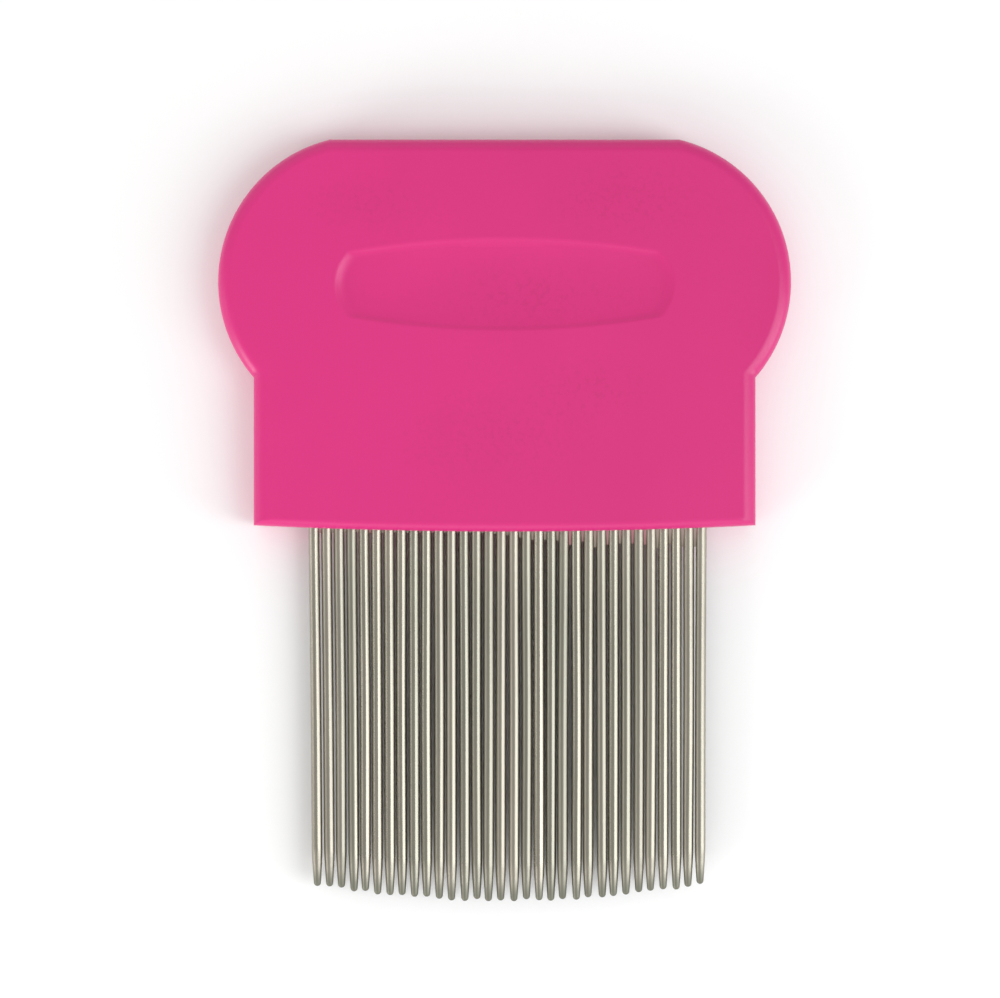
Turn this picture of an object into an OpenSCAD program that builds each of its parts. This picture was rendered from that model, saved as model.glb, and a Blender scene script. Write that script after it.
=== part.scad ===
// Flea comb: a flat two-shell plastic handle that holds a row of round steel pins.
//
// The comb lies on its back. The rear face rests on z = 0, the front face looks
// along +Z, the pins point along -Y and +X runs across the comb. The origin is
// under the middle of the whole comb. All sizes are millimetres.

/* [Handle] */
// Height of the handle along its middle, from the foot edge to the top edge
handle_h = 38.3; // [31:0.1:48]
// Thickness of the handle, front face to rear face
handle_t = 5.4; // [4.4:0.1:7]
// Distance that each lobe reaches out beyond the neck
lobe_reach = 3.5; // [2:0.1:6]
// Radius of each lobe
lobe_r = 14.3; // [13:0.1:15]
// Height that the straight top edge takes off the lobes
top_cut = 0.4; // [0.1:0.1:1]
// Plastic beside the pin row, from the outer pin to the side of the neck
neck_margin = 4.98; // [4:0.01:7]
// Height by which the foot edge curves up from its middle to its corners
foot_rise = 0.6; // [0.2:0.1:1.5]
// Rounding of the side and top rims
rim_r = 1.35; // [0.6:0.05:1.6]
// Rounding of the foot rim
foot_rim_r = 0.9; // [0.3:0.1:1.2]

/* [Pins] */
// Number of pins in the row
pin_count = 32; // [24:1:40]
// Diameter of a pin
pin_d = 1.06; // [0.8:0.01:1.2]
// Open gap between two neighbouring pins, which decides what the comb catches
pin_gap = 0.165; // [0.14:0.005:0.4]
// Free length of the pins in the middle of the row
pin_free = 36.2; // [28:0.1:45]
// Length of a pin that is held inside the handle
pin_grip = 14; // [13:0.1:15]
// Radius of the arc that the pin tips follow
tip_arc_r = 118; // [90:1:200]
// Length of the taper at a pin's tip
taper_l = 3.6; // [1.5:0.1:5]
// Radius of a pin's rounded tip
tip_r = 0.35; // [0.25:0.01:0.38]
// Chamfer at a pin's root
root_chamfer = 0.15; // [0.05:0.01:0.25]
// Sideways place of the pin row, from the middle of the handle
row_x = 0.3; // [-0.6:0.05:0.6]

/* [Thumb dish] */
// Length of the barrel-shaped dish
dish_l = 33.4; // [26:0.1:36]
// Height of the dish at its middle
dish_h = 9.3; // [7:0.1:10]
// Radius of the dish's long top and bottom edges
dish_side_r = 88; // [60:1:200]
// Depth of the dish along its middle
dish_depth = 0.5; // [0.4:0.05:1.1]
// Height by which the dish's floor rises from its middle to its long edges
dish_floor_rise = 0.35; // [0.1:0.05:0.4]
// Distance of the dish's middle below the top edge
dish_drop = 14.2; // [13:0.1:16]
// Plastic left under the dish
dish_floor_t = 1.2; // [0.9:0.05:1.4]
// Width of the thickened border round the dish, inside a shell
dish_border = 1; // [0.6:0.1:1.2]

/* [Shells] */
// Thickness of the front and rear face walls
wall = 1.5; // [1.1:0.05:1.8]
// Thickness of the side walls
side_wall = 2.4; // [2:0.1:2.8]
// Length of the foot wall that the pins leave through
mouth_l = 3; // [2:0.1:4]
// Thickness of the wall behind the pin roots
stop_t = 1.5; // [1:0.1:2]
// Thickness of the stiffening ribs
rib_t = 1; // [0.8:0.1:1.4]
// Distance between two ribs
rib_pitch = 9.4; // [8:0.1:9.8]
// Distance of the tongue's outer side from the handle's side
tongue_inset = 1; // [0.8:0.05:1.2]
// Width of the tongue that runs round the front shell
tongue_w = 0.7; // [0.5:0.05:0.8]
// Height of the tongue
tongue_h = 0.6; // [0.4:0.05:0.8]
// Plastic between the tongue's ends and the outer pins
tongue_end = 1; // [0.6:0.1:1.5]
// Diameter of the locating pegs
peg_d = 2; // [1.6:0.1:2.4]
// Length of a peg beyond the parting plane
peg_l = 1.2; // [0.8:0.1:1.4]
// Diameter of the bosses round the pegs and sockets
boss_d = 3.6; // [3.2:0.1:4]
// Sideways place of the pegs, outwards from the middle of a lobe
peg_out = 8.3; // [8:0.1:9]
// Distance of the pegs above and below the middle of a lobe
peg_spread = 5; // [4:0.1:6]

/* [Pin bar] */
// Length of the bar along the pins
bar_l = 6; // [5:0.1:7]
// Width of the bar beyond the outer pins
bar_end = 1.4; // [1:0.1:1.8]
// Height of the keys at the bar's ends
key_h = 2.4; // [1.5:0.1:3]
// Distance that the keys stand out from the bar's ends
key_out = 0.8; // [0.4:0.05:0.8]
// Length of the adhesive bead between the mouth and the bar
bead_l = 2; // [1:0.1:2.5]

/* [Fits] */
// Clearance of a pin in the half-round notches of the mouth, on the diameter
notch_play = 0.06; // [0.02:0.01:0.1]
// Film between bonded faces, on each side
bond_film = 0.01; // [0.005:0.005:0.02]
// Clearance of the bar in its pocket, on each side
bar_play = 0.05; // [0.02:0.01:0.1]
// Clearance between a pin's root and the stop wall
root_play = 0.15; // [0.1:0.01:0.3]
// Clearance of the tongue in its groove, on each side and at its end
tongue_play = 0.05; // [0.02:0.01:0.1]
// Clearance of a peg in its socket, on the diameter
peg_play = 0.1; // [0.04:0.01:0.2]
// Clearance at the end of a peg
peg_end_play = 0.2; // [0.1:0.05:0.3]
// Gap between facing ribs and facing dish backs, on each side
rib_play = 0.05; // [0.02:0.01:0.1]

/* [Hidden] */
$fn = 96;
// Fineness of the long foot arc and of the tip arc
ARC_FN = 720;
// Fineness of a pin
PIN_FN = 32;
// Overlap that lets a cut pass clean through a face
CUT = 1;

// Pin row
pitch = pin_d + pin_gap;
row_w = (pin_count - 1) * pitch + pin_d;
pin_l = pin_free + pin_grip;

// Outline, with y measured from the middle of the whole comb
comb_l = pin_free + handle_h;
tip_y = -comb_l / 2;
foot_y = tip_y + pin_free;
top_y = comb_l / 2;
lobe_y = top_y + top_cut - lobe_r;
neck_w = row_w + 2 * neck_margin;
head_w = neck_w + 2 * lobe_reach;
lobe_x = head_w / 2 - lobe_r;
foot_arc_r = (pow(neck_w / 2, 2) + pow(foot_rise, 2)) / (2 * foot_rise);

// Parting plane and the hollow on each side of it
half_t = handle_t / 2;
hollow = half_t - wall;

// Places along the pins
mouth_y = foot_y + mouth_l;
bar_y = mouth_y + bead_l;
root_y = tip_y + pin_l;
stop_y = root_y + root_play;
stop_top_y = stop_y + arc_rise(row_w / 2) + stop_t;
key_y = bar_y + bar_l / 2;

// Pin bar and its pocket
bar_w = row_w + 2 * bar_end;
pocket_w = bar_w + 2 * bar_play;
bar_t = 2 * (hollow - bar_play);

// Thumb dish
dish_y = top_y - dish_drop;
dish_floor_r = (pow(dish_h / 2, 2) + pow(dish_floor_rise, 2)) / (2 * dish_floor_rise);
dish_back = half_t - dish_depth - dish_floor_t;

// Pegs, ribs and the two sides of the handle
peg_x = lobe_x + peg_out;
RIBS = [-2:2];
SIDES = [-1, 1];

// Rise of the tip arc at a distance from the row's middle
function arc_rise(x) = tip_arc_r - sqrt(pow(tip_arc_r, 2) - pow(x, 2));

// Distance of a pin from the row's middle, counted from 1 at the left
function pin_offset(i) = (i - (pin_count + 1) / 2) * pitch;

// Name of a pin's node
function pin_name(i) = str("pin_", i < 10 ? "0" : "", i);

PINS = [1:pin_count];
SHELL_NODES = ["front_shell", "rear_shell", "pin_bar", "glue_bead"];

// ---------- outlines on the parting plane ----------

// Outline of the handle, brought in on every side
module outline(inset) {
    intersection() {
        union() {
            for (side = SIDES)
                translate([side * lobe_x, lobe_y])
                    circle(lobe_r - inset);
            translate([-lobe_x, lobe_y - lobe_r + inset])
                square([2 * lobe_x, 2 * (lobe_r - inset)]);
        }
        translate([-head_w, foot_y])
            square([2 * head_w, handle_h - inset]);
    }
    intersection() {
        translate([inset - neck_w / 2, foot_y - foot_rise])
            square([neck_w - 2 * inset, lobe_y - foot_y + foot_rise]);
        translate([0, foot_y + foot_arc_r])
            circle(foot_arc_r - inset, $fn = ARC_FN);
    }
}

// Everything below the arc that the pin roots reach, lifted by a clearance
module below_root_arc(lift) {
    difference() {
        translate([-head_w, foot_y - CUT])
            square([2 * head_w, stop_top_y - foot_y]);
        translate([row_x, root_y + lift + tip_arc_r])
            circle(tip_arc_r, $fn = ARC_FN);
    }
}

// Outline of the bar with its two keys, grown by a clearance
module bar_outline(play) {
    translate([row_x - bar_w / 2 - play, bar_y - play])
        square([bar_w + 2 * play, bar_l + 2 * play]);
    translate([row_x - bar_w / 2 - key_out - play, key_y - key_h / 2 - play])
        square([bar_w + 2 * (key_out + play), key_h + 2 * play]);
}

// Outline of the pocket for the bead, the bar and the pin roots
module pocket_outline() {
    intersection() {
        translate([row_x - pocket_w / 2, mouth_y])
            square([pocket_w, stop_top_y - mouth_y]);
        below_root_arc(root_play);
    }
    bar_outline(bar_play);
}

// Barrel shape of the dish, grown by a border
module dish_outline(grow) {
    end_r = dish_h / 2 + grow;
    side_r = dish_side_r + grow;
    intersection() {
        union() {
            for (side = SIDES)
                translate([side * (dish_l - dish_h) / 2, 0])
                    circle(end_r);
            square([dish_l - dish_h, 2 * end_r], center = true);
        }
        translate([0, dish_h / 2 - dish_side_r])
            circle(side_r, $fn = ARC_FN);
        translate([0, dish_side_r - dish_h / 2])
            circle(side_r, $fn = ARC_FN);
    }
}

// Track of the tongue, grown by a clearance and left open at the pin row
module tongue_outline(play) {
    open_w = row_w + 2 * (tongue_end - play);
    difference() {
        outline(tongue_inset - play);
        outline(tongue_inset + tongue_w + play);
        translate([row_x - open_w / 2, foot_y - CUT])
            square([open_w, mouth_l + CUT]);
    }
}

// ---------- half of the handle, standing on the parting plane ----------

// Section of a rim: a wall of the half's height with a rounded top corner
module rim_section(reach, r) {
    square([reach, half_t - r]);
    square([reach - r, half_t]);
    intersection() {
        translate([reach - r, half_t - r])
            circle(r);
        square([reach, half_t]);
    }
}

// Disc with a rounded rim
module rim_disc(reach, r) {
    rotate_extrude()
        rim_section(reach, r);
}

// Block with two rounded rims along Y, reaching to both sides of it, from y = 0 to y = length
module rim_block(reach, r, length) {
    translate([0, length, 0])
        rotate([90, 0, 0])
            linear_extrude(length) {
                rim_section(reach, r);
                mirror([1, 0])
                    rim_section(reach, r);
            }
}

// Head: two lobes and the stretch between them, cut by the straight top edge
module head_half() {
    intersection() {
        union() {
            for (side = SIDES)
                translate([side * lobe_x, lobe_y, 0])
                    rim_disc(lobe_r, rim_r);
            translate([-lobe_x, lobe_y, 0])
                rotate([0, 0, -90])
                    rim_block(lobe_r, rim_r, 2 * lobe_x);
        }
        translate([-head_w, foot_y, 0])
            rotate([0, 0, -90])
                rim_block(handle_h, rim_r, 2 * head_w);
    }
}

// Neck: straight sides, and the long arc of the foot edge
module neck_half() {
    intersection() {
        translate([0, foot_y - foot_rise, 0])
            rim_block(neck_w / 2, rim_r, lobe_y - foot_y + foot_rise);
        translate([0, foot_y + foot_arc_r, 0])
            rotate_extrude($fn = ARC_FN)
                rim_section(foot_arc_r, foot_rim_r);
    }
}

// Cut that makes the thumb dish in the face
module dish_cut() {
    translate([0, dish_y, 0])
        intersection() {
            translate([0, 0, half_t - dish_depth - CUT])
                linear_extrude(dish_depth + 2 * CUT)
                    dish_outline(0);
            translate([-dish_l, 0, half_t - dish_depth + dish_floor_r])
                rotate([0, 90, 0])
                    cylinder(r = dish_floor_r, h = 2 * dish_l, $fn = ARC_FN);
        }
}

// Hollow behind the pin row's stop wall
module head_hollow() {
    linear_extrude(hollow)
        difference() {
            outline(side_wall);
            translate([-head_w, foot_y - CUT])
                square([2 * head_w, stop_top_y - foot_y + CUT]);
        }
}

// Half-round notches that the pins leave through
module mouth_notches() {
    for (i = PINS)
        translate([row_x + pin_offset(i), foot_y - CUT, 0])
            rotate([-90, 0, 0])
                cylinder(d = pin_d + notch_play, h = mouth_l + 2 * CUT, $fn = PIN_FN);
}

// Ribs and the back of the dish, which stand in the hollow
module stiffeners() {
    for (i = RIBS)
        translate([i * rib_pitch - rib_t / 2, stop_top_y - CUT, rib_play])
            cube([rib_t, top_y - side_wall / 2 - stop_top_y + CUT, half_t - dish_depth - rib_play]);
    translate([0, dish_y, dish_back])
        linear_extrude(dish_floor_t)
            dish_outline(dish_border);
}

// Places of the four pegs
module at_pegs() {
    for (side = SIDES)
        for (level = SIDES)
            translate([side * peg_x, lobe_y + level * peg_spread, 0])
                children();
}

// What the two shells share
module shell_half() {
    difference() {
        union() {
            difference() {
                union() {
                    head_half();
                    neck_half();
                }
                head_hollow();
                linear_extrude(hollow)
                    pocket_outline();
                mouth_notches();
            }
            intersection() {
                stiffeners();
                linear_extrude(hollow + wall / 3)
                    outline(side_wall / 2);
            }
            at_pegs()
                cylinder(d = boss_d, h = hollow + wall / 2);
        }
        dish_cut();
    }
}

// ---------- sub-parts ----------

// Front shell, with the pegs and the tongue
module front_shell() {
    color("#e04488")
        translate([0, 0, half_t]) {
            shell_half();
            at_pegs()
                translate([0, 0, -peg_l])
                    cylinder(d = peg_d, h = peg_l + hollow);
            translate([0, 0, -tongue_h])
                linear_extrude(tongue_h + rib_play)
                    tongue_outline(0);
        }
}

// Rear shell, with the sockets and the groove
module rear_shell() {
    color("#d83c80")
        translate([0, 0, half_t])
            mirror([0, 0, 1])
                difference() {
                    shell_half();
                    at_pegs()
                        translate([0, 0, -CUT])
                            cylinder(d = peg_d + peg_play, h = CUT + peg_l + peg_end_play);
                    translate([0, 0, -CUT])
                        linear_extrude(CUT + tongue_h + tongue_play)
                            tongue_outline(tongue_play);
                }
}

// Bores for the whole row, over a stretch along the pins
module row_bores(from_y, length) {
    for (i = PINS)
        translate([row_x + pin_offset(i), from_y - CUT, half_t])
            rotate([-90, 0, 0])
                cylinder(d = pin_d + 2 * bond_film, h = length + 2 * CUT, $fn = PIN_FN);
}

// Bar that spaces the pins and keys them into the handle
module pin_bar() {
    color("#f0e6d8")
        difference() {
            translate([0, 0, half_t - bar_t / 2])
                linear_extrude(bar_t)
                    bar_outline(0);
            row_bores(bar_y, bar_l);
        }
}

// Adhesive that fills the pocket between the mouth and the bar
module glue_bead() {
    bead_w = pocket_w - 2 * bond_film;
    bead_t = 2 * (hollow - bond_film);
    color("#e8dcc0")
        difference() {
            translate([row_x - bead_w / 2, mouth_y + bond_film, half_t - bead_t / 2])
                cube([bead_w, bead_l - bar_play - 2 * bond_film, bead_t]);
            row_bores(mouth_y, bead_l);
        }
}

// Round steel pin, tip down: rounded tip, taper, straight shank and chamfered root
module pin_blank() {
    shank_top = pin_l - root_chamfer;
    translate([0, 0, tip_r])
        sphere(tip_r);
    translate([0, 0, tip_r])
        cylinder(r1 = tip_r, r2 = pin_d / 2, h = taper_l - tip_r);
    translate([0, 0, taper_l])
        cylinder(d = pin_d, h = shank_top - taper_l);
    translate([0, 0, shank_top])
        cylinder(r1 = pin_d / 2, r2 = pin_d / 2 - root_chamfer, h = root_chamfer);
}

// Pin in its place in the row
module pin(i) {
    color("#b4b0a0")
        translate([row_x + pin_offset(i), tip_y + arc_rise(pin_offset(i)), half_t])
            rotate([-90, 0, 0])
                pin_blank($fn = PIN_FN);
}

front_shell();
rear_shell();
pin_bar();
glue_bead();
for (i = PINS)
    pin(i);
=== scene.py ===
"""Flea comb: moulded pink handle in two shells, a row of tapered steel pins and its studio stage.

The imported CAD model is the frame. Every piece is modelled around it in metres, with +X across
the pin row, +Y from the tips to the handle's top edge and +Z out of the front face.
"""
import functools
import math
import random

import bpy
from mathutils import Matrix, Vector


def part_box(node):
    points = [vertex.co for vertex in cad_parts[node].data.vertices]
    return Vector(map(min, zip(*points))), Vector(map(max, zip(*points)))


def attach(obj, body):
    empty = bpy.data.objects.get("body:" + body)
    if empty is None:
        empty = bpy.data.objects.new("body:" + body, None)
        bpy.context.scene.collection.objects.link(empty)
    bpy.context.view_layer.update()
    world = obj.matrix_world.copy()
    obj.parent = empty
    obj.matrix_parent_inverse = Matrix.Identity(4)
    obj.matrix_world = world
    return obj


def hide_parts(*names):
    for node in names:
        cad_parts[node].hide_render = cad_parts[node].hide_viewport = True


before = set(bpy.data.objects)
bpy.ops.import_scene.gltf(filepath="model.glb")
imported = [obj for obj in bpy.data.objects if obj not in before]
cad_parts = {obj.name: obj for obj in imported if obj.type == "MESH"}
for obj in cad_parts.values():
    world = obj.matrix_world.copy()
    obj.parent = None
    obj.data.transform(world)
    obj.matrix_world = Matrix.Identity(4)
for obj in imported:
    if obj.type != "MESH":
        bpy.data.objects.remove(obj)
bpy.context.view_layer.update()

bl_info = {
    "name": "Flea comb",
    "version": (1, 0, 0),
    "blender": (4, 5, 0),
    "location": "View3D > Sidebar > Flea comb",
    "description": "Models a flea comb around its packed frame, piece by piece",
    "category": "Object",
}

MM = 0.001
BOND_FILM = 0.01 * MM
PIN_NODES = sorted(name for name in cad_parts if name.startswith("pin_") and name != "pin_bar")


# ---------- places that come from the frame ----------

def node_box(name):
    """Lowest and highest corners of a CAD node, as vectors."""
    low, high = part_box(name)
    return Vector(low), Vector(high)


REAR_LOW, REAR_HIGH = node_box("rear_shell")
FOOT_Y = REAR_LOW.y
TOP_Y = REAR_HIGH.y
PARTING_Z = REAR_HIGH.z
HALF_T = node_box("front_shell")[1].z - PARTING_Z
HEAD_W = REAR_HIGH.x - REAR_LOW.x
BAR_LOW, BAR_HIGH = node_box("pin_bar")
BEAD_LOW, BEAD_HIGH = node_box("glue_bead")
PIN_LOW, PIN_HIGH = node_box(PIN_NODES[len(PIN_NODES) // 2])
PIN_D = PIN_HIGH.x - PIN_LOW.x
ROW_LOW = node_box(PIN_NODES[0])[0]
ROW_HIGH = node_box(PIN_NODES[-1])[1]
ROW_X = (ROW_LOW.x + ROW_HIGH.x) / 2
PITCH = (ROW_HIGH.x - ROW_LOW.x - PIN_D) / (len(PIN_NODES) - 1)
HOLLOW = (BEAD_HIGH.z - BEAD_LOW.z) / 2 + BOND_FILM


# ---------- settings ----------

def length(name, description, default):
    """Length setting, in metres."""
    return bpy.props.FloatProperty(
        name=name, description=description, default=default, min=0.0,
        unit="LENGTH", subtype="DISTANCE", precision=5)


def share(name, description, default, top=1.0):
    """Plain number from 0 to top."""
    return bpy.props.FloatProperty(
        name=name, description=description, default=default, min=0.0, max=top, precision=3)


def colour(name, description, default):
    """Colour setting, linear."""
    return bpy.props.FloatVectorProperty(
        name=name, description=description, default=default, size=3, min=0.0, max=1.0,
        subtype="COLOR")


class HandleSettings(bpy.types.PropertyGroup):
    """Sizes of the two moulded shells."""
    lobe_r: length("Lobe radius", "Radius of each lobe of the head", 14.3 * MM)
    top_cut: length("Top cut", "Height that the straight top edge takes off the lobes", 0.4 * MM)
    neck_w: length("Neck width", "Width of the straight neck", 49.0 * MM)
    foot_rise: length("Foot rise", "Height by which the foot edge curves up to its corners", 0.6 * MM)
    rim_r: length("Rim radius", "Rounding of the side and top rims", 1.35 * MM)
    foot_rim_r: length("Foot rim radius", "Rounding of the foot rim", 0.9 * MM)
    parting_chamfer: length("Parting chamfer", "Chamfer at the seam between the shells", 0.1 * MM)
    side_wall: length("Side wall", "Thickness of the side walls", 2.4 * MM)
    mouth_l: length("Mouth", "Length of the foot wall round the pins", 3.0 * MM)
    stop_t: length("Stop wall", "Thickness of the wall behind the pin roots", 1.5 * MM)
    rib_t: length("Rib thickness", "Thickness of the stiffening ribs", 1.0 * MM)
    rib_pitch: length("Rib pitch", "Distance between two ribs", 9.4 * MM)
    play: length("Inner play", "Gap between facing inner parts", 0.05 * MM)
    notch_play: length("Notch play", "Clearance of a pin in the mouth, on the radius", 0.03 * MM)
    tongue_inset: length("Tongue inset", "Distance of the tongue from the handle's side", 1.0 * MM)
    tongue_w: length("Tongue width", "Width of the tongue", 0.7 * MM)
    tongue_h: length("Tongue height", "Height of the tongue", 0.6 * MM)
    peg_r: length("Peg radius", "Radius of a locating peg", 1.0 * MM)
    boss_r: length("Boss radius", "Radius of the boss round a peg", 1.8 * MM)
    peg_l: length("Peg length", "Length of a peg beyond the seam", 1.2 * MM)
    peg_out: length("Peg distance", "Sideways distance of a peg from the lobe's middle", 8.3 * MM)
    peg_spread: length("Peg spread", "Distance of a peg above and below the lobe's middle", 5.0 * MM)
    peg_end_play: length("Peg end play", "Clearance at the end of a peg", 0.2 * MM)
    tongue_end: length("Tongue end", "Plastic between the tongue's ends and the outer pins", 1.0 * MM)
    root_play: length("Root play", "Clearance between a pin's root and the stop wall", 0.15 * MM)
    tip_arc_r: length("Tip arc radius", "Radius of the arc that the pin tips follow", 118.0 * MM)
    key_h: length("Key height", "Height of the keys at the bar's ends", 2.4 * MM)


class DishSettings(bpy.types.PropertyGroup):
    """Sizes of the thumb dish in each face."""
    dish_l: length("Dish length", "Length of the barrel-shaped dish", 33.4 * MM)
    dish_h: length("Dish height", "Height of the dish at its middle", 9.3 * MM)
    side_r: length("Long edge radius", "Radius of the dish's long edges", 88.0 * MM)
    depth: length("Depth", "Depth of the dish along its middle", 0.5 * MM)
    floor_rise: length("Floor rise", "Rise of the floor from its middle to its long edges", 0.35 * MM)
    floor_shift: length("Floor shift", "Distance of the floor's lowest line above the middle", 0.4 * MM)
    drop: length("Drop", "Distance of the dish's middle below the top edge", 14.2 * MM)
    corner_r: length("Corner radius", "Rounding of the four corners of the outline", 1.6 * MM)
    rim_soft: length("Rim softness", "Width of the rounding where the dish meets the face", 0.35 * MM)
    slope: bpy.props.FloatProperty(
        name="Slope", description="Slope of the dish's walls", default=math.radians(24),
        min=math.radians(10), max=math.radians(60), unit="ROTATION")
    back_t: length("Back thickness", "Plastic left under the dish", 1.2 * MM)
    border: length("Border", "Width of the thickened border inside", 1.0 * MM)


class PinSettings(bpy.types.PropertyGroup):
    """Shape of the steel pins and how far each strays from true."""
    taper_l: length("Taper length", "Length of the taper at the tip", 3.6 * MM)
    tip_r: length("Tip radius", "Radius of the rounded tip", 0.35 * MM)
    chamfer: length("Root chamfer", "Chamfer at the root", 0.15 * MM)
    closing: share("Closing", "Share by which the row closes in towards the tips", 0.005)
    pressed: length("Pressed", "How far the tip of the first pin on the left is pressed in", 0.26 * MM)
    stray: length("Stray", "Usual sideways stray of a tip", 0.05 * MM)
    bow: length("Bow", "Usual bow of a pin along its free length", 0.03 * MM)
    creep: length("Creep", "Most that a pin sits deep or proud along its length", 0.12 * MM)
    flash_l: length("Flash length", "Longest web left between two pins", 1.5 * MM)
    flash_h: length("Flash height", "Thickness of a web", 0.6 * MM)
    flash_lap: length("Flash lap", "Distance by which a web laps onto the pins", 0.02 * MM)
    sides: bpy.props.IntProperty(
        name="Sides", description="Sides of a pin's section", default=24, min=12, max=48)


class LookSettings(bpy.types.PropertyGroup):
    """Colours and finish of the materials."""
    pink: colour("Handle pink", "Colour of the moulded plastic", (0.645, 0.022, 0.192))
    steel: colour("Steel", "Colour of the drawn wire", (0.30, 0.297, 0.241))
    steel_warm: colour("Warm steel", "Colour of the wire where it is warmest", (0.355, 0.325, 0.272))
    web_pink: colour("Web pink", "Colour of the webs where they are pinkest", (0.48, 0.24, 0.27))
    plastic_rough: share("Plastic roughness", "Roughness of the moulded plastic", 0.32)
    steel_rough: share("Steel roughness", "Roughness of the wire", 0.275)
    bar: colour("Bar plastic", "Colour of the pin bar", (0.80, 0.74, 0.63))
    resin: colour("Adhesive", "Colour of the cured adhesive", (0.66, 0.52, 0.30))
    floor: colour("Floor", "Colour of the studio floor", (0.96, 0.96, 0.96))


class StageSettings(bpy.types.PropertyGroup):
    """Camera and studio light."""
    view_w: length("View width", "Width seen where the front rim starts to round", 97.7 * MM)
    lens: bpy.props.FloatProperty(
        name="Lens", description="Focal length in millimetres", default=135.0, min=20.0, max=300.0)
    aim_left: length("Aim left", "Distance of the view's middle to the left", 0.45 * MM)
    aim_up: length("Aim up", "Distance of the view's middle towards the top", 2.13 * MM)
    floor_w: length("Floor width", "Width of the studio floor", 3.0)
    sky: share("Sky", "Strength of the even light all round", 0.63, 4.0)
    key: share("Key", "Power of the long box on the right, in watts", 1.25, 100.0)
    foot: share("Foot", "Power of the box beyond the pin tips, in watts", 0.6, 100.0)
    fill: share("Fill", "Power of the low box at the lower left, in watts", 1.0, 100.0)
    strip: share("Strip", "Power of the strip level with the comb on the left, in watts", 0.19, 100.0)
    top: share("Top", "Power of the box beyond the handle, in watts", 0.17, 100.0)
    key_angle: bpy.props.FloatProperty(
        name="Key angle", description="Angle of the key from straight above, to the right",
        default=math.radians(51), unit="ROTATION")


SETTING_GROUPS = {
    "comb_handle": HandleSettings,
    "comb_dish": DishSettings,
    "comb_pins": PinSettings,
    "comb_looks": LookSettings,
    "comb_stage": StageSettings,
}


def settings(group):
    """One of the scene's groups of settings."""
    return getattr(bpy.context.scene, group)


# ---------- modelling steps, as by hand ----------

LOBE_STEPS = 56
FOOT_STEPS = 14
SMALL_SIDES = 32
DISH_SIDES = 96
STOP_SIDES = 480
LARGE_SIDES = 720
SIDE_RIBS = 2
RIM_SEGMENTS = 9
CORNER_SEGMENTS = 6
RIM_STEPS = 4
OVERCUT = 1.0 * MM
HAIR = 0.002 * MM
PLACE_DIGITS = 7
FACE_WEIGHT = 100
FLAT_ANGLE = math.radians(0.4)
CORNER_ANGLE = math.radians(15)
SMOOTH_ANGLE = math.radians(35)


def open_edit():
    """Enters edit mode."""
    bpy.ops.object.mode_set(mode="EDIT")


def close_edit():
    """Leaves edit mode."""
    bpy.ops.object.mode_set(mode="OBJECT")


def deselect_all():
    """Leaves edit mode and deselects every object."""
    if bpy.context.object and bpy.context.object.mode != "OBJECT":
        close_edit()
    bpy.ops.object.select_all(action="DESELECT")


def activate(piece):
    """Makes one object the only selected and active one."""
    deselect_all()
    piece.select_set(True)
    bpy.context.view_layer.objects.active = piece


def apply_place(piece):
    """Moves an object's place, turn and scale into its mesh."""
    activate(piece)
    bpy.ops.object.transform_apply(location=True, rotation=True, scale=True)
    return piece


def add_box(name, low, high):
    """Box between two corners."""
    low, high = Vector(low), Vector(high)
    deselect_all()
    bpy.ops.mesh.primitive_cube_add(size=1.0, location=(low + high) / 2, scale=high - low)
    piece = bpy.context.object
    piece.name = name
    return apply_place(piece)


def add_cylinder(name, radius, low, high, sides=SMALL_SIDES, turn=0.0):
    """Cylinder between two points that share two of their coordinates."""
    low, high = Vector(low), Vector(high)
    along = high - low
    tilt = along.to_track_quat("Z", "Y").to_euler()
    deselect_all()
    bpy.ops.mesh.primitive_cylinder_add(
        vertices=sides, radius=radius, depth=along.length, location=(low + high) / 2,
        rotation=(tilt.x, tilt.y, tilt.z + turn))
    piece = bpy.context.object
    piece.name = name
    return apply_place(piece)


def combine(piece, tool, operation):
    """Boolean of a piece with a tool, which is used up."""
    activate(piece)
    step = piece.modifiers.new(operation.lower(), "BOOLEAN")
    step.operation = operation
    step.object = tool
    step.solver = "EXACT"
    bpy.ops.object.modifier_apply(modifier=step.name)
    bpy.data.meshes.remove(tool.data)
    return piece


def cut(piece, tool):
    """Takes a tool's shape out of a piece."""
    return combine(piece, tool, "DIFFERENCE")


def fuse(piece, tool):
    """Adds a tool's shape to a piece."""
    return combine(piece, tool, "UNION")


def keep_inside(piece, tool):
    """Keeps the part of a piece that lies inside a tool."""
    return combine(piece, tool, "INTERSECT")


def join(pieces, name):
    """Joins objects into one mesh, without merging their surfaces."""
    activate(pieces[0])
    for piece in pieces:
        piece.select_set(True)
    bpy.ops.object.join()
    joined = bpy.context.object
    joined.name = name
    return joined


def select_where(piece, kind, test):
    """In edit mode, selects the vertices, edges or faces that pass a test on their vertices' places."""
    activate(piece)
    open_edit()
    bpy.ops.mesh.select_mode(type=kind)
    bpy.ops.mesh.select_all(action="DESELECT")
    close_edit()
    mesh = piece.data
    if kind == "VERT":
        for corner in mesh.vertices:
            corner.select = test([corner.co])
    else:
        for part in mesh.edges if kind == "EDGE" else mesh.polygons:
            part.select = test([mesh.vertices[i].co for i in part.vertices])
    open_edit()


def tidy_flats(piece):
    """Merges doubles and dissolves the lines that cross flat faces."""
    activate(piece)
    open_edit()
    bpy.ops.mesh.select_mode(type="VERT")
    bpy.ops.mesh.select_all(action="SELECT")
    bpy.ops.mesh.remove_doubles(threshold=HAIR / 4)
    bpy.ops.mesh.dissolve_limited(angle_limit=FLAT_ANGLE, delimit=set())
    close_edit()
    return piece


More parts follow.
